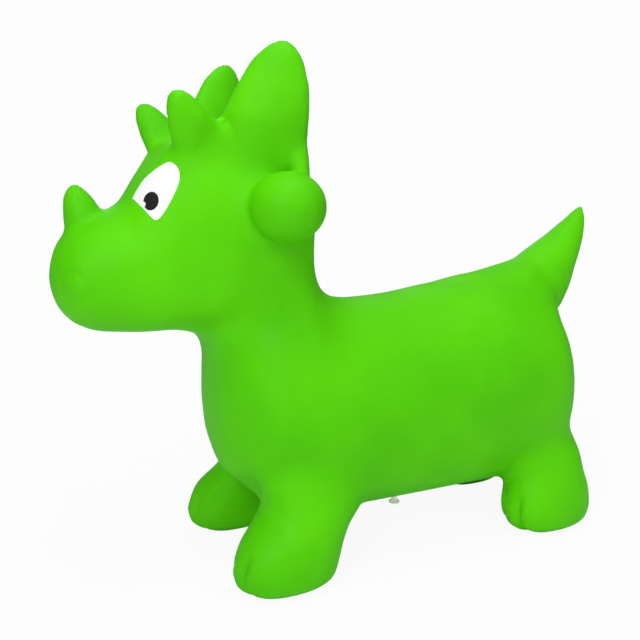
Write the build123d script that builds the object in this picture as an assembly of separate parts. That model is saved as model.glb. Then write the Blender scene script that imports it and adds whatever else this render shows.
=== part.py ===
from build123d import *
import math
import os

# Inflatable dinosaur hopper: a child sits on its back and bounces.
# The animal is one hollow skin of soft vinyl, moulded whole with its legs, tail,
# ears, horns and two ball-ended handles. A push-in plug closes the air valve in
# the belly. Sizes are millimetres, +Z is up and the nose points to -X. The origin
# is on the floor, under the middle of the animal's length.

# The skin, thicker in the legs
wall = 3.0
leg_wall = 5.0

# Body, as its side view
body_width = 212.0
belly_height = 44.0
saddle_height = 262.0
croup_height = 287.0
croup_reach = 180.0
rump_reach = 251.0
rump_height = 130.0
chest_reach = 166.5
saddle_radius = 28.0
saddle_pivot_reach = 32.0

# Neck and head
nape_reach = 60.0
neck_width = 142.0
throat_height = 246.0
throat_radius = 14.0
throat_pivot_reach = 181.0
head_width = 156.0
crown_height = 417.0
brow_reach = 222.0
muzzle_reach = 306.0
muzzle_width = 120.0
muzzle_depth = 111.5

# Horn on the nose
nose_horn_reach = 281.0
nose_horn_width = 30.0
nose_horn_length = 42.0
nose_horn_tip_height = 379.5

# Pair of brow horns
brow_horn_reach = 203.0
brow_horn_spread = 127.0
brow_horn_width = 36.0
brow_horn_thickness = 30.0
brow_horn_length = 78.0
brow_horn_tip_height = 458.0

# Pair of ears
ear_reach = 116.0
ear_spread = 152.0
ear_width = 71.0
ear_thickness = 32.0
ear_turn = 25.0
ear_length = 134.0
ear_tip_height = 502.0

# Ball-ended handle on each side of the head
handle_reach = 119.0
handle_height = 361.0
handle_spread = 198.0
handle_ball_diameter = 67.0
handle_neck_diameter = 48.0

# Tail
tail_tip_reach = 304.0
tail_tip_height = 355.0
tail_length = 140.0
tail_depth = 100.0
tail_width = 100.0

# Legs and feet
front_foot_reach = 115.5
hind_foot_reach = 203.0
front_foot_spread = 156.0
hind_foot_spread = 150.0
foot_length = 108.0
foot_width = 77.0
leg_height = 130.0

# Air valve in the belly and its push-in plug
valve_reach = 50.0
valve_boss_diameter = 26.0
valve_boss_thickness = 8.0
valve_boss_sink = 0.7
plug_head_diameter = 12.0
plug_head_thickness = 2.2
plug_edge_bevel = 0.5
plug_stem_diameter = 6.2
plug_tip_diameter = 4.6
plug_tip_length = 5.0
plug_stand_off = 18.0
valve_clearance = 0.05
overrun = 5.0

# Points on each section of the trunk, the legs and spikes and the hollow, and the
# trunk's sections to one step of its tables
trunk_points = 10
spike_points = 16
hollow_points = 10
trunk_steps = 2
body_depth = saddle_height - belly_height


def ring(centre, across, upright, half_width, half_height, roundness, count):
    """Points round a closed oval, from the one underneath."""
    points = []
    for index in range(count):
        turn = 2 * math.pi * index / count
        over, up = -math.sin(turn), -math.cos(turn)
        over = math.copysign(abs(over) ** roundness, over)
        up = math.copysign(abs(up) ** roundness, up)
        points.append(Vector(*centre) + across * (half_width * over) + upright * (half_height * up))
    return points


def profile_ring(back_x, back_z, belly_x, belly_z, half_width, roundness, inset, count):
    """Section through two points of the side view, square to the middle plane."""
    upright = Vector(back_x - belly_x, 0, back_z - belly_z)
    centre = ((back_x + belly_x) / 2, 0, (back_z + belly_z) / 2)
    half_height = upright.length / 2 - inset
    across = Vector(0, 1, 0)
    return ring(centre, across, upright.normalized(), half_width - inset, half_height, roundness, count)


def level_ring(x, y, z, half_length, half_width, roundness, turn, count):
    """Level section of a leg, an ear, a horn or the tail, turned about the upright."""
    along = Vector(math.cos(turn), math.sin(turn), 0)
    across = Vector(-math.sin(turn), math.cos(turn), 0)
    return ring((x, y, z), across, along, half_width, half_length, roundness, count)


def sided(rings):
    """Loft through many-sided sections."""
    return loft([make_face(Polyline(*points, close=True)) for points in rings], ruled=True)


def faceted(rings):
    """Closed form of flat three-sided faces through many-sided sections."""
    faces = [make_face(Polyline(*rings[0], close=True)), make_face(Polyline(*rings[-1], close=True))]
    for low, high in zip(rings, rings[1:]):
        for index, start in enumerate(low):
            faces.append(make_face(Polyline(start, low[index - 1], high[index], close=True)))
            faces.append(make_face(Polyline(low[index - 1], high[index - 1], high[index], close=True)))
    return Solid(Shell(faces))


def finer(rows, steps):
    """The rows of a table, with more between them on smooth curves through each column."""
    gaps = [math.dist(start, end) for start, end in zip(rows, rows[1:])]
    slopes = [[(e - s) / gap for s, e in zip(start, end)] for start, end, gap in zip(rows, rows[1:], gaps)]
    tangents = [slopes[0]]
    for before, after, near, far in zip(slopes, slopes[1:], gaps, gaps[1:]):
        tangents.append([(b * far + a * near) / (near + far) for b, a in zip(before, after)])
    tangents.append(slopes[-1])
    fine = []
    for index, gap in enumerate(gaps):
        for step in range(steps):
            t = step / steps
            row = []
            for column, start in enumerate(rows[index]):
                rise = rows[index + 1][column] - start
                leave, arrive = tangents[index][column] * gap, tangents[index + 1][column] * gap
                bend = (3 * rise - 2 * leave - arrive) * t ** 2
                row.append(start + leave * t + bend + (leave + arrive - 2 * rise) * t ** 3)
            fine.append(row)
    return fine + [list(rows[-1])]


# Back, from the saddle to the croup: reach, rise above the saddle, width
back_shares = (
    (0.028, 0.0, 0.975),
    (0.28, 0.10, 0.99),
    (0.61, 0.48, 1.0),
    (0.94, 0.90, 0.98),
)
# Rump, from the croup to its end: reach, top, underside, width
rump_shares = (
    (0.37, 0.91, 0.94, 0.92),
    (0.68, 0.745, 0.82, 0.80),
    (0.872, 0.51, 0.60, 0.60),
    (0.968, 0.25, 0.31, 0.32),
    (1.0, 0.10, 0.12, 0.13),
)
# Sections that fan out from the saddle's front corner: turn in degrees, then the
# chest point's reach and rise, then the width
chest_fan_shares = (
    (0.0, 0.178, 0.005, 0.985),
    (16.0, 0.59, 0.06, 0.975),
    (32.0, 0.92, 0.255, 0.935),
    (46.0, 0.99, 0.523, 0.87),
    (60.0, 0.985, 0.766, 0.78),
)
torso_roundness = 0.92


def torso_sections():
    """Back point, belly point, half width and roundness from the rump's end to the chest."""
    sections = []
    half = body_width / 2
    for reach, top, under, width in reversed(rump_shares):
        x = croup_reach + (rump_reach - croup_reach) * reach
        back_z = rump_height + (croup_height - rump_height) * top
        belly_z = rump_height - (rump_height - belly_height) * under
        sections.append((x, back_z, x, belly_z, half * width, torso_roundness))
    for reach, rise, width in reversed(back_shares):
        x = croup_reach * reach
        back_z = saddle_height + (croup_height - saddle_height) * rise
        sections.append((x, back_z, x, belly_height, half * width, torso_roundness))
    pivot_z = saddle_height + saddle_radius
    for turn, reach, rise, width in chest_fan_shares:
        angle = math.radians(turn)
        back_x = -saddle_pivot_reach - saddle_radius * math.sin(angle)
        back_z = pivot_z - saddle_radius * math.cos(angle)
        chest_z = belly_height + body_depth * rise
        sections.append((back_x, back_z, -chest_reach * reach, chest_z, half * width, torso_roundness))
    return sections


# Neck and skull, in sections that fan out from the throat's corner: turn in degrees,
# then the nape or crown point's reach and rise, then the width and the roundness
skull_shares = (
    (0.0, 0.0, 0.318, 0.0, 0.9),
    (35.0, 0.006, 0.506, 0.0, 0.85),
    (52.0, 0.02, 0.738, 0.35, 0.8),
    (68.0, 0.18, 0.93, 0.85, 0.78),
    (82.0, 0.503, 1.0, 1.0, 0.76),
)
# Brow and muzzle: reach as a share of the way from the brow to the muzzle's end,
# top and underside as shares of the muzzle's depth, width, roundness
muzzle_shares = (
    (-0.43, 1.53, 0.0, 1.24, 0.76),
    (-0.10, 1.39, -0.01, 1.16, 0.78),
    (0.08, 1.215, -0.01, 1.07, 0.84),
    (0.25, 1.05, 0.0, 1.01, 0.92),
    (0.40, 0.995, 0.01, 0.985, 0.96),
    (0.60, 0.945, 0.03, 0.90, 1.0),
    (0.79, 0.86, 0.10, 0.75, 1.0),
    (0.918, 0.73, 0.205, 0.52, 1.0),
    (0.98, 0.60, 0.32, 0.28, 1.0),
    (1.0, 0.52, 0.40, 0.12, 1.0),
)


def head_sections():
    """Nape or crown point, throat or chin point, half width and roundness to the nose."""
    sections = []
    pivot_z = throat_height - throat_radius
    for turn, reach, rise, width, roundness in skull_shares:
        angle = math.radians(turn)
        throat_x = -throat_pivot_reach + throat_radius * math.cos(angle)
        throat_z = pivot_z + throat_radius * math.sin(angle)
        crown_x = -nape_reach - (brow_reach - nape_reach) * reach
        crown_z = throat_height + (crown_height - throat_height) * rise
        half = (neck_width + (head_width - neck_width) * width) / 2
        sections.append((crown_x, crown_z, throat_x, throat_z, half, roundness))
    for reach, top, under, width, roundness in muzzle_shares:
        x = -brow_reach - (muzzle_reach - brow_reach) * reach
        bridge_z = throat_height + muzzle_depth * top
        chin_z = throat_height + muzzle_depth * under
        sections.append((x, bridge_z, x, chin_z, muzzle_width / 2 * width, roundness))
    return sections


def trunk():
    """Torso, neck and head as one loft along the animal's bent middle line."""
    sections = torso_sections() + head_sections()
    muzzle_start = (len(sections) - len(muzzle_shares)) * trunk_steps
    smoother = finer(sections, trunk_steps)[:muzzle_start] + sections[-len(muzzle_shares):]
    faces = []
    for section in smoother:
        points = profile_ring(*section, 0, trunk_points)
        outline = Edge.make_spline(points, periodic=True, parameters=range(trunk_points + 1))
        faces.append(make_face(outline))
    return loft(faces, ruled=True)


def trunk_hollow():
    """Hollow of the trunk, the wall's thickness inside it."""
    sections = torso_sections() + head_sections()
    end_x, start_x = sections[-1][0] + wall, sections[0][0] - wall
    sections = [(min(s[0], start_x), s[1], min(s[2], start_x)) + s[3:] for s in sections]
    sections = [(max(s[0], end_x), s[1], max(s[2], end_x)) + s[3:] for s in sections]
    return faceted([profile_ring(*section, wall, hollow_points) for section in sections[1:-1]])


# Foot and leg from the sole up: height, lean to the tail, lean to the middle,
# length, width
leg_roundness = 0.9
foot_shares = (
    (0.0, 0.0, 0.0, 0.70, 0.60),
    (0.07, 0.0, 0.0, 0.93, 0.91),
    (0.19, 0.0, 0.0, 1.0, 1.0),
)
front_leg_shares = foot_shares + (
    (0.34, 0.06, 0.01, 0.98, 0.98),
    (0.49, 0.165, 0.05, 0.96, 0.94),
    (0.63, 0.24, 0.105, 1.0, 0.93),
    (0.80, 0.30, 0.21, 1.0, 0.90),
    (1.0, 0.34, 0.33, 0.85, 0.80),
)
hind_leg_shares = foot_shares + (
    (0.34, 0.01, 0.02, 0.95, 0.98),
    (0.49, 0.02, 0.08, 0.84, 0.94),
    (0.63, 0.015, 0.15, 0.83, 0.93),
    (0.80, -0.04, 0.28, 0.85, 0.92),
    (0.97, -0.10, 0.52, 0.70, 0.80),
)


def leg_rings(shares, reach, spread, side, inset, count):
    """Sections of a stubby leg with a rounded foot and a flat sole."""
    rings = []
    for height, lean, inward, length, width in shares:
        x = reach + foot_length * lean
        y = side * (spread / 2 - foot_width * inward)
        z = inset + (leg_height - inset) * height
        half_length = foot_length / 2 * length - inset
        half_width = foot_width / 2 * width - inset
        rings.append(level_ring(x, y, z, half_length, half_width, leg_roundness, 0, count))
    return rings


# Spikes from the root up: height, offset along the spike's width, lean to the
# middle, width and thickness
tail_shares = (
    (0.0, -0.95, 0.0, 0.70, 0.72),
    (0.18, -0.78, 0.0, 0.88, 0.78),
    (0.34, -0.715, 0.0, 0.97, 0.75),
    (0.50, -0.60, 0.0, 0.92, 0.65),
    (0.63, -0.425, 0.0, 0.73, 0.52),
    (0.75, -0.2575, 0.0, 0.505, 0.385),
    (0.89, -0.105, 0.0, 0.27, 0.22),
    (1.0, -0.025, 0.0, 0.07, 0.07),
)
ear_shares = (
    (0.0, 0.15, 1.25, 1.05, 1.25),
    (0.25, -0.12, 0.60, 1.12, 1.12),
    (0.50, -0.195, 0.15, 1.11, 1.0),
    (0.70, -0.11, 0.04, 0.91, 0.90),
    (0.87, -0.055, 0.01, 0.66, 0.66),
    (0.96, -0.015, 0.0, 0.39, 0.39),
    (1.0, 0.0, 0.0, 0.13, 0.13),
)
brow_horn_shares = (
    (0.0, 0.80, 0.95, 1.60, 1.0),
    (0.26, 0.80, 0.66, 1.60, 1.0),
    (0.46, 0.69, 0.42, 1.55, 0.93),
    (0.65, 0.458, 0.21, 1.30, 0.82),
    (0.81, 0.20, 0.08, 0.90, 0.66),
    (0.94, 0.05, 0.02, 0.52, 0.42),
    (1.0, 0.0, 0.0, 0.16, 0.16),
)
nose_horn_shares = (
    (0.0, 0.38, 0.0, 1.25, 1.15),
    (0.30, 0.26, 0.0, 1.08, 1.02),
    (0.56, 0.15, 0.0, 0.88, 0.86),
    (0.80, 0.06, 0.0, 0.60, 0.60),
    (0.94, 0.01, 0.0, 0.33, 0.33),
    (1.0, 0.0, 0.0, 0.12, 0.12),
)


def spike(shares, tip, length, width, thickness, turn):
    """Tail, ear or horn: level rings that shrink to the tip."""
    tip_x, tip_y, tip_z = tip
    side = math.copysign(1, tip_y)
    rings = []
    for height, offset, inward, wide, thick in shares:
        x = tip_x + width * offset
        y = tip_y - side * thickness * inward
        z = tip_z - length * (1 - height)
        half_width, half_thickness = width / 2 * wide, thickness / 2 * thick
        rings.append(level_ring(x, y, z, half_width, half_thickness, 1, side * turn, spike_points))
    return sided(rings)


def tail():
    tip = (tail_tip_reach, 0, tail_tip_height)
    return spike(tail_shares, tip, tail_length, tail_depth, tail_width, 0)


def ear(side):
    tip = (-ear_reach, side * ear_spread / 2, ear_tip_height)
    return spike(ear_shares, tip, ear_length, ear_width, ear_thickness, math.radians(ear_turn))


def brow_horn(side):
    tip = (-brow_horn_reach, side * brow_horn_spread / 2, brow_horn_tip_height)
    return spike(brow_horn_shares, tip, brow_horn_length, brow_horn_width, brow_horn_thickness, 0)


def nose_horn():
    tip = (-nose_horn_reach, 0, nose_horn_tip_height)
    return spike(nose_horn_shares, tip, nose_horn_length, nose_horn_width, nose_horn_width, 0)


def handle(side):
    """Ball-ended handle that sticks out of the side of the head."""
    ball_place = Pos(-handle_reach, side * handle_spread / 2, handle_height)
    neck_plane = Plane(origin=(-handle_reach, 0, handle_height), z_dir=(0, side, 0))
    neck = extrude(neck_plane * Circle(handle_neck_diameter / 2), handle_spread / 2)
    return ball_place * Sphere(handle_ball_diameter / 2) + neck


def outer_form():
    """Trunk with its legs, tail, ears, horns and handles."""
    form = trunk() + tail() + nose_horn()
    for side in (-1, 1):
        front = leg_rings(front_leg_shares, -front_foot_reach, front_foot_spread, side, 0, spike_points)
        hind = leg_rings(hind_leg_shares, hind_foot_reach, hind_foot_spread, side, 0, spike_points)
        form = form + sided(front) + sided(hind) + brow_horn(side) + ear(side) + handle(side)
    return form


def inner_form():
    """Hollow of the trunk and the legs."""
    form = trunk_hollow()
    for side in (-1, 1):
        front = (front_leg_shares, -front_foot_reach, front_foot_spread)
        hind = (hind_leg_shares, hind_foot_reach, hind_foot_spread)
        form += faceted(leg_rings(*front, side, leg_wall, hollow_points))
        form += faceted(leg_rings(*hind, side, leg_wall, hollow_points))
    return form


def make_skin():
    """Hollow skin with its ears, horns and handles, and a thick boss at the valve."""
    boss_base = wall - valve_boss_sink
    boss = Cylinder(
        valve_boss_diameter / 2,
        valve_boss_thickness - boss_base,
        align=(Align.CENTER, Align.CENTER, Align.MIN),
    )
    bore = Cylinder(
        plug_stem_diameter / 2 + valve_clearance,
        valve_boss_thickness + 2 * overrun,
        align=(Align.CENTER, Align.CENTER, Align.MIN),
    )
    shell = outer_form() - inner_form()
    shell += Pos(valve_reach, 0, belly_height + boss_base) * boss
    return shell - Pos(valve_reach, 0, belly_height - overrun) * bore


def make_plug():
    """Push-in plug: round head, straight stem and a tapered tip, turned about Z."""
    head_radius = plug_head_diameter / 2
    stem_radius = plug_stem_diameter / 2
    head_top = belly_height - plug_stand_off
    head_under = head_top - plug_head_thickness
    tip_top = belly_height + valve_boss_thickness + plug_tip_length
    outline = Polyline(
        (0, 0, head_under),
        (head_radius - plug_edge_bevel, 0, head_under),
        (head_radius, 0, head_under + plug_edge_bevel),
        (head_radius, 0, head_top - plug_edge_bevel),
        (head_radius - plug_edge_bevel, 0, head_top),
        (stem_radius, 0, head_top),
        (stem_radius, 0, tip_top - plug_tip_length),
        (plug_tip_diameter / 2, 0, tip_top),
        (0, 0, tip_top),
        close=True,
    )
    return Pos(valve_reach, 0, 0) * revolve(make_face(outline), Axis.Z)


os.makedirs("parts", exist_ok=True)
parts = {"skin": make_skin(), "valve_plug": make_plug()}
for name, shape in parts.items():
    export_step(shape, "parts/" + name + ".step")
    print(name, len(shape.solids()), shape.is_valid, round(shape.volume), len(shape.faces()))
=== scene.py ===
import math

import bmesh
import bpy
import numpy as np
from mathutils import Matrix, Vector
from mathutils.bvhtree import BVHTree


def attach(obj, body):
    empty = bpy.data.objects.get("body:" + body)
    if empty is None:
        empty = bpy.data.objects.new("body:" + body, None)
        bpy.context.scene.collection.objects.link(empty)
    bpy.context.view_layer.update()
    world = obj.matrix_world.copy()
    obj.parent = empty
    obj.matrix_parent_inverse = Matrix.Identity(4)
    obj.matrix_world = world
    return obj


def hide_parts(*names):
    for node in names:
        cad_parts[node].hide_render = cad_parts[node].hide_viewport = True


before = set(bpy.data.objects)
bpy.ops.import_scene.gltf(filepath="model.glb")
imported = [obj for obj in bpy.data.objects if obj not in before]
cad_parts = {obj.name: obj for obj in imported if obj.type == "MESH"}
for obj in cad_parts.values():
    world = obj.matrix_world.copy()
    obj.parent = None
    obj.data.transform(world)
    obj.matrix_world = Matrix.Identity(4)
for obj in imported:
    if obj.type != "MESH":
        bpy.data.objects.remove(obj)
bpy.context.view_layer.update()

# Camera. The animal is seen from its front left, ten degrees above the level, so
# that the near side, the face and a little of the back show.
lens_place = Vector((-0.37404, -0.709, 0.381156))
turn, dip = 0.43681, 0.17717
ahead = Vector((
    math.sin(turn) * math.cos(dip),
    math.cos(turn) * math.cos(dip),
    -math.sin(dip),
))
view_right = (math.cos(turn), -math.sin(turn), 0.0)
camera_data = bpy.data.cameras.new("studio_camera")
camera_data.lens = 43.13
camera = bpy.data.objects.new("studio_camera", camera_data)
camera_turned = ahead.to_track_quat("-Z", "Y").to_matrix().to_4x4()
camera.matrix_world = Matrix.Translation(lens_place) @ camera_turned
bpy.context.collection.objects.link(camera)
bpy.context.scene.camera = camera

# Skin. The animal is one hollow moulding of soft vinyl, turned in its mould until
# the wall is even, so every part of it flows into the next with a soft round
# corner. The solid gives its form, and an even fine mesh takes the soft corners.
valve_x = 0.05
bore_radius = 0.00315
bore_margin = 0.0002
merge_distance = 0.00001

skin = bpy.data.objects.new("hopper_skin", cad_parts["skin"].data.copy())
bpy.context.collection.objects.link(skin)
bpy.ops.object.select_all(action="DESELECT")
bpy.context.view_layer.objects.active = skin
skin.select_set(True)
bpy.ops.object.mode_set(mode="EDIT")
bpy.ops.mesh.select_all(action="SELECT")
bpy.ops.mesh.remove_doubles(threshold=merge_distance)
bpy.ops.object.mode_set(mode="OBJECT")

# Only the outside of the wall shows: the bore is opened, the inside goes, and
# the hole is closed until the valve's own hole is cut.
wall_mesh = bmesh.new()
wall_mesh.from_mesh(skin.data)
bore_faces = [
    face for face in wall_mesh.faces
    if all(
        math.hypot(vert.co.x - valve_x, vert.co.y) < bore_radius + bore_margin
        for vert in face.verts
    )
]
bmesh.ops.delete(wall_mesh, geom=bore_faces, context="FACES")
outside, front = set(), [max(wall_mesh.verts, key=lambda vert: vert.co.z)]
while front:
    vert = front.pop()
    if vert not in outside:
        outside.add(vert)
        front += [edge.other_vert(vert) for edge in vert.link_edges]
inside = [vert for vert in wall_mesh.verts if vert not in outside]
bmesh.ops.delete(wall_mesh, geom=inside, context="VERTS")
rim = [edge for edge in wall_mesh.edges if edge.is_boundary]
bmesh.ops.holes_fill(wall_mesh, edges=rim, sides=0)
wall_mesh.to_mesh(skin.data)
wall_mesh.free()

square_size = 0.003


def even_mesh():
    """Give the skin an even mesh of squares, and return its points."""
    remesh = skin.modifiers.new("even_mesh", "REMESH")
    remesh.mode = "VOXEL"
    remesh.voxel_size = square_size
    bpy.ops.object.modifier_apply(modifier="even_mesh")
    places = np.empty(len(skin.data.vertices) * 3)
    skin.data.vertices.foreach_get("co", places)
    return places.reshape(-1, 3)


# Webs: in deep corners the skin spans from one part to the other. Each row is a
# place on one side of the animal and a reach, and the skin's points within reach
# are wrapped on both sides: two beside the tail, two behind the front leg, then
# the saddle, the throat, the ear's root and the brow.
points = even_mesh()
webbed = bmesh.new()
webbed.from_mesh(skin.data)
webs = (
    (0.199, 0.050, 0.256, 0.038),
    (0.190, 0.026, 0.276, 0.034),
    (-0.057, 0.073, 0.079, 0.030),
    (-0.050, 0.047, 0.072, 0.025),
    (-0.040, 0.028, 0.268, 0.022),
    (-0.183, 0.030, 0.244, 0.019),
    (-0.092, 0.084, 0.398, 0.018),
    (-0.202, 0.000, 0.397, 0.048),
)
for x, y, z, reach in webs:
    for side in (-1, 1):
        near = points[np.linalg.norm(points - (x, side * y, z), axis=1) < reach]
        spots = [webbed.verts.new(place) for place in near]
        wrap = bmesh.ops.convex_hull(webbed, input=spots)
        bmesh.ops.delete(webbed, geom=wrap["geom_interior"], context="VERTS")
webbed.to_mesh(skin.data)
webbed.free()

points = even_mesh()
total = len(points)
ends = np.empty(len(skin.data.edges) * 2, dtype=int)
skin.data.edges.foreach_get("vertices", ends)
ends = ends.reshape(-1, 2)
degree = np.bincount(ends.ravel(), minlength=total)[:, None]
corners = np.array([list(face.vertices)[:4] for face in skin.data.polygons])


def neighbour_mean(values):
    """Mean of each point's neighbours along the edges."""
    sums = [
        np.bincount(ends[:, 0], values[ends[:, 1], axis], total)
        + np.bincount(ends[:, 1], values[ends[:, 0], axis], total)
        for axis in range(3)
    ]
    return np.stack(sums, axis=1) / degree


def smoothed(places, rounds, strength):
    """The points, drawn towards their neighbours' mean in each round."""
    for _ in range(rounds):
        places = places + strength * (neighbour_mean(places) - places)
    return places


def outward():
    """Normals of the moved points."""
    across = np.cross(
        points[corners[:, 2]] - points[corners[:, 0]],
        points[corners[:, 3]] - points[corners[:, 1]],
    )
    sums = [
        np.bincount(corners.ravel(), np.repeat(across[:, axis], 4), total)
        for axis in range(3)
    ]
    normals = np.stack(sums, axis=1)
    return normals / np.linalg.norm(normals, axis=1)[:, None]


def distance_to(x, y, z):
    """Distance to a place that both sides of the animal have."""
    beside = np.abs(points[:, 1]) - y
    return np.sqrt((points[:, 0] - x) ** 2 + beside ** 2 + (points[:, 2] - z) ** 2)


def fade(value, start, end):
    """1 up to the start, 0 from the end on, soft in between."""
    share = np.clip((end - value) / (end - start), 0, 1)
    return share * share * (3 - 2 * share)


def bell(value, width):
    """1 where the value is 0, and softly to nothing on both sides of it."""
    return np.exp(-((value / width) ** 2))


# The mesh is evened first. Then the roots fill up to soft corners: what lies below
# a wide mean of the skin round it rises, and what stands out keeps its size. Each
# row is a place, how far the fill is full and where it ends. The body's rows are
# the backs of the front legs, the fronts of the hind legs, the throat and the saddle.
points = smoothed(points, 8, 0.5)
body_roots = (
    (-0.055, 0.060, 0.080, 0.060, 0.090),
    (0.205, 0.065, 0.090, 0.040, 0.060),
    (-0.182, 0.000, 0.240, 0.035, 0.060),
    (-0.045, 0.000, 0.280, 0.060, 0.100),
)
tail_roots = (
    (0.190, 0.000, 0.290, 0.055, 0.090),
    (0.220, 0.045, 0.255, 0.050, 0.075),
)
head_roots = (
    (-0.120, 0.062, 0.392, 0.045, 0.070),
    (-0.105, 0.070, 0.366, 0.040, 0.060),
)
brow_roots = (
    (-0.185, 0.050, 0.402, 0.032, 0.050),
    (-0.105, 0.055, 0.400, 0.060, 0.080),
)
rise_share = 0.8
for roots, width, rounds in (
    (brow_roots, 8, 6),
    (head_roots, 25, 6),
    (body_roots, 25, 14),
    (tail_roots, 25, 10),
):
    filled = np.zeros(total)
    for x, y, z, core, reach in roots:
        filled = np.maximum(filled, fade(distance_to(x, y, z), core, reach))
    for _ in range(rounds):
        wide_mean = points
        for _ in range(width):
            wide_mean = 0.5 * (wide_mean + neighbour_mean(wide_mean))
        normals = outward()
        rise = ((wide_mean - points) * normals).sum(axis=1)
        points = points + normals * (np.maximum(rise, 0) * filled * rise_share)[:, None]
points = smoothed(points, 4, 0.4)

# Front ankles: above the toes the leg draws back and in, to the chest's width
ankle_height, ankle_spread = 0.078, 0.020
ankle_back, ankle_in = 0.0105, 0.0065
beside = np.abs(points[:, 1])
ankle = bell(points[:, 2] - ankle_height, ankle_spread) * fade(points[:, 0], -0.145, -0.085)
ankle = ankle * (1 - fade(beside, 0.030, 0.055)) * (points[:, 0] < 0)
points[:, 0] += ankle_back * ankle
points[:, 1] -= np.sign(points[:, 1]) * ankle_in * ankle

# Toes: two shallow creases over the front of each foot
toe_offset, toe_crease_width, toe_crease_depth = 0.0125, 0.0042, 0.0046
for foot_front, foot_y in ((-0.1695, 0.078), (0.149, 0.075)):
    normals = outward()
    for crease in (foot_y - toe_offset, foot_y + toe_offset):
        groove = bell(np.abs(points[:, 1]) - crease, toe_crease_width)
        over = fade(points[:, 0], foot_front + 0.014, foot_front + 0.036)
        over = over * fade(points[:, 2], 0.030, 0.052) * (points[:, 0] > foot_front - 0.02)
        points = points - normals * (toe_crease_depth * groove * over)[:, None]

# Horns: a little stouter than the solid's, with blunt round tips
for x, y, z, more in ((-0.284, 0.000, 0.366, 0.0028), (-0.203, 0.063, 0.436, 0.0018)):
    swell = more * fade(distance_to(x, y, z), 0.016, 0.034)
    points = points + outward() * swell[:, None]

# Handles: the balls are a little flatter than they are wide
handle_height, handle_flattening = 0.358, 0.07
flatter = fade(distance_to(-0.119, 0.099, 0.361), 0.036, 0.046)
points[:, 2] -= handle_flattening * flatter * (points[:, 2] - handle_height)

# Small pulls of the form: the croup lower, the rump flatter under the tail, and
# the ears' back edges wider
for x, y, z, core, reach, pull in (
    (0.150, 0.000, 0.283, 0.030, 0.075, (0.0, 0.0, -0.0025)),
    (0.250, 0.000, 0.205, 0.030, 0.070, (-0.0040, 0.0, 0.0)),
    (-0.095, 0.076, 0.470, 0.030, 0.060, (0.0022, 0.0, 0.0)),
):
    share = fade(distance_to(x, y, z), core, reach)
    points = points + share[:, None] * pull

# Ears: a soft crease runs down the front of each ear's root, from a dimple at the
# crest. Its line is given by its slope from the line of sight, right and up, and
# the far side has the near side's crease in mirror image.
crease_line = ((-0.1239, 0.2608), (-0.1148, 0.2413), (-0.1043, 0.2250), (-0.0848, 0.2021))
crease_depth, crease_width = 0.0026, 0.0042
dimple_depth, dimple_width = 0.0034, 0.0075
near_side = points * (1, 0, 1) - np.abs(points) * (0, 1, 0)
sight = near_side - np.array(lens_place)
level = np.array(view_right)
upward = np.cross(level, np.array(ahead))
slopes = np.stack((sight @ level, sight @ upward), axis=1) / (sight @ np.array(ahead))[:, None]
away = np.full(total, 1.0)
along = np.zeros(total)
for index, (start, end) in enumerate(zip(crease_line, crease_line[1:])):
    start, end = np.array(start), np.array(end)
    share = np.clip((slopes - start) @ (end - start) / ((end - start) @ (end - start)), 0, 1)
    gap = np.linalg.norm(slopes - start - share[:, None] * (end - start), axis=1)
    along = np.where(gap < away, index + share, along)
    away = np.minimum(gap, away)
normals = outward()
facing = (normals * (1, 0, 1) - np.sign(points) * normals * (0, 1, 0)) * sight
facing = fade(facing.sum(axis=1) / np.linalg.norm(sight, axis=1), -0.15, 0.05)
at_root = facing * fade(distance_to(-0.125, 0.065, 0.405), 0.045, 0.065)
from_dimple = np.linalg.norm(slopes - np.array(crease_line[0]), axis=1)
shallower = 1 - along / (len(crease_line) - 1)
depth = (
    crease_depth * shallower * bell(away, crease_width)
    + dimple_depth * bell(from_dimple, dimple_width)
)
points = points - normals * (depth * at_root)[:, None]
points = smoothed(points, 5, 0.5 * at_root[:, None])

# Nostrils: a soft round bump on each side, with a shallow crease round it
away = distance_to(-0.292, 0.040, 0.293)
bump = 0.0012 * bell(away, 0.009) - 0.0009 * bell(away - 0.0135, 0.0035)
points = points + outward() * bump[:, None]

skin.data.vertices.foreach_set("co", points.ravel())
skin.data.update()

# The valve's hole, which the plug's stem goes up through
bpy.ops.mesh.primitive_cylinder_add(
    vertices=48, radius=bore_radius, depth=0.050, location=(valve_x, 0.0, 0.055)
)
cutter = bpy.context.object
hole = skin.modifiers.new("valve_hole", "BOOLEAN")
hole.operation, hole.solver, hole.object = "DIFFERENCE", "EXACT", cutter
bpy.context.view_layer.objects.active = skin
bpy.ops.object.modifier_apply(modifier="valve_hole")
bpy.data.objects.remove(cutter)
bpy.ops.object.shade_smooth()
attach(skin, "hopper")
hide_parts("skin")


class Wire:
    """A node socket that Python's own signs and numbers can be used on."""

    def __init__(self, tree, socket):
        self.tree, self.socket = tree, socket

    def node(self, kind, settings=None, **sockets):
        """A new node. A socket is given by its name, or by _ and its number."""
        made = self.tree.nodes.new(kind)
        for name, value in (settings or {}).items():
            setattr(made, name, value)
        for name, value in sockets.items():
            target = made.inputs[int(name[1:]) if name[0] == "_" else name.replace("_", " ")]
            if isinstance(value, Wire):
                self.tree.links.new(value.socket, target)
            else:
                target.default_value = value
        return made

    def out(self, made, name=0):
        return Wire(self.tree, made.outputs[name])

    def maths(self, operation, first, second):
        return self.out(self.node("ShaderNodeMath", {"operation": operation}, _0=first, _1=second))

    def __add__(self, other):
        return self.maths("ADD", self, other)

    def __mul__(self, other):
        return self.maths("MULTIPLY", self, other)

    __radd__ = __add__


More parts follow.
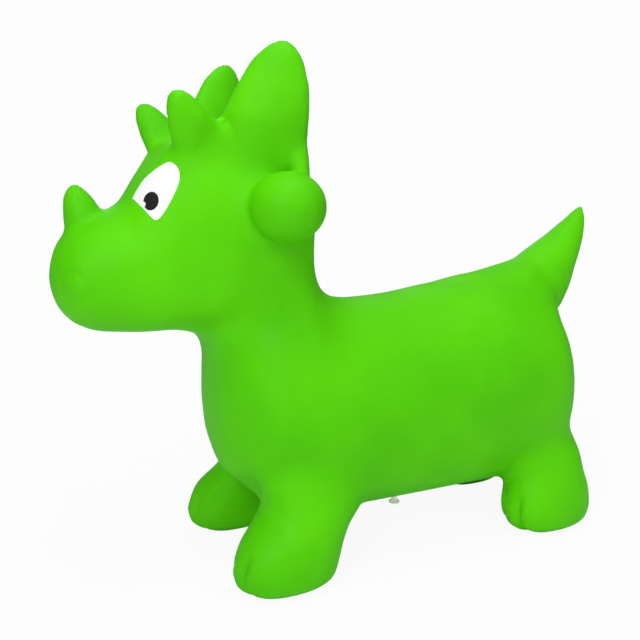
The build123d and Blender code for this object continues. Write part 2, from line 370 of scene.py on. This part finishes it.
def new_material(name):
    """A material, its surface shader and the place on the piece."""
    material = bpy.data.materials.new(name)
    material.use_nodes = True
    tree = material.node_tree
    shader = tree.nodes["Principled BSDF"]
    place = Wire(tree, tree.nodes.new("ShaderNodeTexCoord").outputs["Object"])
    return material, shader, place


def feed(place, shader, name, wire):
    place.tree.links.new(wire.socket, shader.inputs[name])


def noise(place, scale, detail):
    """Soft noise over the piece."""
    made = place.node("ShaderNodeTexNoise", Vector=place, Scale=scale, Detail=detail)
    return place.out(made, "Fac")


def shades(place, value, dark, light):
    """A colour that goes from dark to light with a value."""
    ramp = place.node("ShaderNodeValToRGB", Fac=value)
    for index, (spot, colour) in enumerate(((0.3, dark), (0.7, light))):
        element = ramp.color_ramp.elements[index]
        element.position, element.color = spot, colour
    return place.out(ramp)


# Soft vinyl: apple green through and through, satin, with a faint cloudiness, a
# little rubbed and dusty on the soles, and the mould's fine grain.
vinyl, shader, place = new_material("apple_green_vinyl")
clouds = noise(place, 9.0, 3.0)
grain = noise(place, 900.0, 2.0)
ripple = noise(place, 60.0, 2.0)
height = place.out(place.node("ShaderNodeSeparateXYZ", Vector=place), "Z")
sole = place.out(place.node(
    "ShaderNodeMapRange", Value=height, From_Min=0.0, From_Max=0.004, To_Min=1.0, To_Max=0.0
))
green = shades(place, clouds, (0.066, 0.47, 0.0002, 1), (0.092, 0.56, 0.0005, 1))
worn_green = (0.10, 0.30, 0.03, 1)
worn = place.node("ShaderNodeMix", {"data_type": "RGBA"}, _0=sole * 0.35, _6=green, _7=worn_green)
feed(place, shader, "Base Color", place.out(worn, 2))
feed(place, shader, "Roughness", 0.47 + clouds * 0.10 + grain * 0.06 + sole * 0.2)
bumps = place.node(
    "ShaderNodeBump", Strength=0.12, Distance=0.0004, Height=grain * 0.4 + ripple
)
feed(place, shader, "Normal", place.out(bumps))
shader.inputs["Specular IOR Level"].default_value = 0.09
skin.data.materials.clear()
skin.data.materials.append(vinyl)

# Eyes. Each is printed on the skin in soft ink: a white leaf cut straight along
# its lower front, with a dark round pupil and a small glint. Their outlines are
# drawn square to the line of sight, and thrown along it onto the head.
surface = BVHTree.FromObject(skin, bpy.context.evaluated_depsgraph_get())
eye_middle = Vector((-0.2204, -0.0507, 0.3724))
eye_right = Vector(view_right)
eye_up = eye_right.cross(ahead)
longest_ink_edge = 0.0016


def printed(name, outline, side, thickness, material):
    """A film of ink: an outline in the view, laid on one side of the head."""
    film = bmesh.new()
    film.faces.new([film.verts.new((a, b, 0.0)) for a, b in outline])
    bmesh.ops.triangulate(film, faces=film.faces[:])
    for _ in range(6):
        long_edges = [edge for edge in film.edges if edge.calc_length() > longest_ink_edge]
        if long_edges:
            bmesh.ops.subdivide_edges(film, edges=long_edges, cuts=1)
            bmesh.ops.triangulate(film, faces=film.faces[:])
    to_side = Vector((1, -side, 1))
    for vert in film.verts:
        target = (eye_middle + eye_right * vert.co.x + eye_up * vert.co.y) * to_side
        sight = target - lens_place * to_side
        hit, normal, _, _ = surface.ray_cast(lens_place * to_side, sight.normalized())
        vert.co = hit + normal * thickness
    bmesh.ops.recalc_face_normals(film, faces=film.faces[:])
    if sum(face.normal.y for face in film.faces) * side < 0:
        bmesh.ops.reverse_faces(film, faces=film.faces[:])
    mesh = bpy.data.meshes.new(name)
    film.to_mesh(mesh)
    film.free()
    piece = bpy.data.objects.new(name, mesh)
    bpy.context.collection.objects.link(piece)
    for face in mesh.polygons:
        face.use_smooth = True
    mesh.materials.append(material)
    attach(piece, "hopper")


def round_outline(given, steps):
    """A smooth closed line through a few points, Catmull-Rom fashion."""
    line = []
    count = len(given)
    for index in range(count):
        before, start, end, after = (
            Vector(given[(index + shift) % count]) for shift in (-1, 0, 1, 2)
        )
        for step in range(steps):
            t = step / steps
            spot = 0.5 * (
                2 * start + (end - before) * t
                + (2 * before - 5 * start + 4 * end - after) * t ** 2
                + (3 * start - before - 3 * end + after) * t ** 3
            )
            line.append(tuple(spot))
    return line


white_ink, shader, place = new_material("white_ink")
specks = noise(place, 400.0, 2.0)
white = shades(place, specks, (0.80, 0.80, 0.80, 1), (0.87, 0.87, 0.86, 1))
feed(place, shader, "Base Color", white)
feed(place, shader, "Roughness", 0.32 + specks * 0.1)

black_ink, shader, place = new_material("black_ink")
specks = noise(place, 400.0, 2.0)
black = shades(place, specks, (0.006, 0.005, 0.004, 1), (0.012, 0.010, 0.009, 1))
feed(place, shader, "Base Color", black)
feed(place, shader, "Roughness", 0.30 + specks * 0.1)

# The pupil is an oval that leans, cut off where it meets the leaf's straight edge
leaf = [
    (-0.0199, -0.0039), (-0.0116, 0.0102), (-0.0019, 0.0194), (0.0079, 0.0255),
    (0.0127, 0.0262), (0.0177, 0.0224), (0.0198, 0.0170), (0.0195, 0.0102),
    (0.0166, 0.0024), (0.0108, -0.0093), (0.0040, -0.0200), (0.0001, -0.0227),
    (-0.0029, -0.0217), (-0.0116, -0.0127), (-0.0189, -0.0056),
]
edge_start, edge_end = Vector(leaf[14]), Vector(leaf[12])
across_edge = Vector((edge_start.y - edge_end.y, edge_end.x - edge_start.x)).normalized()
pupil_middle, pupil_lean = Vector((-0.0043, -0.0069)), math.radians(15)
pupil_wide, pupil_high, pupil_steps = 0.0064, 0.0080, 40
pupil = []
for step in range(pupil_steps):
    spot = step * math.tau / pupil_steps
    wide, high = pupil_wide * math.cos(spot), pupil_high * math.sin(spot)
    on_oval = pupil_middle + Vector((
        wide * math.cos(pupil_lean) + high * math.sin(pupil_lean),
        high * math.cos(pupil_lean) - wide * math.sin(pupil_lean),
    ))
    beyond = min((on_oval - edge_start).dot(across_edge), 0.0)
    pupil.append(tuple(on_oval - across_edge * beyond))
glint_x, glint_y, glint_wide, glint_high, glint_steps = -0.0102, -0.0098, 0.0015, 0.0021, 12
glint = [
    (
        glint_x + glint_wide * math.cos(step * math.tau / glint_steps),
        glint_y + glint_high * math.sin(step * math.tau / glint_steps),
    )
    for step in range(glint_steps)
]
leaf_film, pupil_film, glint_film = 0.00025, 0.00045, 0.00065
for side, side_name in ((-1, "left"), (1, "right")):
    printed("eye_white_" + side_name, round_outline(leaf, 5), side, leaf_film, white_ink)
    printed("eye_pupil_" + side_name, pupil, side, pupil_film, black_ink)
    printed("eye_glint_" + side_name, glint, side, glint_film, white_ink)

# Valve plug: an ivory stopper that is pushed up into the belly's valve. Its form is
# the solid's own, in natural soft plastic, slightly dusty. A faint painted glow
# lightens it in the shade under the belly.
ivory, shader, place = new_material("ivory_plastic_with_painted_glow")
mottle = noise(place, 350.0, 3.0)
cream = shades(place, mottle, (0.86, 0.82, 0.76, 1), (0.94, 0.90, 0.85, 1))
feed(place, shader, "Base Color", cream)
feed(place, shader, "Roughness", 0.38 + mottle * 0.14)
bumps = place.node("ShaderNodeBump", Strength=0.15, Distance=0.0002, Height=mottle)
feed(place, shader, "Normal", place.out(bumps))
# Painted glow: the plug gives off a little light of its own, which lightens it in the belly's
# shade
shader.inputs["Emission Color"].default_value = (0.9, 0.87, 0.8, 1)
shader.inputs["Emission Strength"].default_value = 0.18
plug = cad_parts["valve_plug"]
plug.data.materials.clear()
plug.data.materials.append(ivory)

# Studio: a plain white floor that keeps a faint shadow near the feet and fades into
# the white behind it.
bpy.ops.object.select_all(action="DESELECT")
bpy.ops.mesh.primitive_plane_add(size=60.0, location=(0.0, 0.0, -0.0004))
floor = bpy.context.object
floor.name = "studio_floor"
paper, shader, place = new_material("white_paper")
backdrop_white = (0.985, 0.985, 0.985, 1)
shader.inputs["Base Color"].default_value = (0.88, 0.88, 0.88, 1)
shader.inputs["Roughness"].default_value = 0.9
rays = place.node("ShaderNodeLightPath")
shining = place.node("ShaderNodeEmission", Color=backdrop_white, Strength=1.0)
seen = place.out(rays, "Is Camera Ray")
away = place.node("ShaderNodeVectorMath", {"operation": "LENGTH"}, _0=place)
fading = place.out(place.node(
    "ShaderNodeMapRange",
    Value=place.out(away, "Value"), From_Min=0.30, From_Max=1.0, To_Min=0.94, To_Max=1.0,
))
blend = place.node("ShaderNodeMixShader", _0=seen * fading)
place.tree.links.new(shader.outputs[0], blend.inputs[1])
place.tree.links.new(shining.outputs[0], blend.inputs[2])
place.tree.links.new(blend.outputs[0], place.tree.nodes["Material Output"].inputs["Surface"])
floor.data.materials.append(paper)

# The air is white to the eye, and lights the animal only faintly.
world = bpy.data.worlds.new("studio_air")
bpy.context.scene.world = world
world.use_nodes = True
air = Wire(world.node_tree, None)
rays = air.node("ShaderNodeLightPath")
seen = air.maths("MAXIMUM", air.out(rays, "Is Camera Ray"), air.out(rays, "Is Transmission Ray"))
backdrop = world.node_tree.nodes["Background"]
backdrop.inputs["Color"].default_value = backdrop_white
world.node_tree.links.new((0.15 + seen * 0.85).socket, backdrop.inputs["Strength"])

# Soft lights: the key at the front left, one above, one behind on the far side,
# and a weaker one at the right to fill the shadows.
for name, place_at, size, power in (
    ("key_softbox", (-1.35, -1.40, 1.30), 1.0, 28.0),
    ("top_softbox", (-0.1, -0.4, 2.2), 1.6, 28.0),
    ("back_softbox", (0.3, 1.9, 1.5), 1.4, 12.0),
    ("fill_softbox", (1.1, -1.9, 1.1), 1.4, 9.0),
):
    lamp = bpy.data.lights.new(name, "AREA")
    lamp.shape, lamp.size, lamp.energy = "DISK", size, power
    holder = bpy.data.objects.new(name, lamp)
    aim = Vector((0.0, 0.0, 0.22)) - Vector(place_at)
    turned = aim.to_track_quat("-Z", "Y").to_matrix().to_4x4()
    holder.matrix_world = Matrix.Translation(place_at) @ turned
    bpy.context.collection.objects.link(holder)
bpy.context.scene.view_settings.view_transform = "Standard"
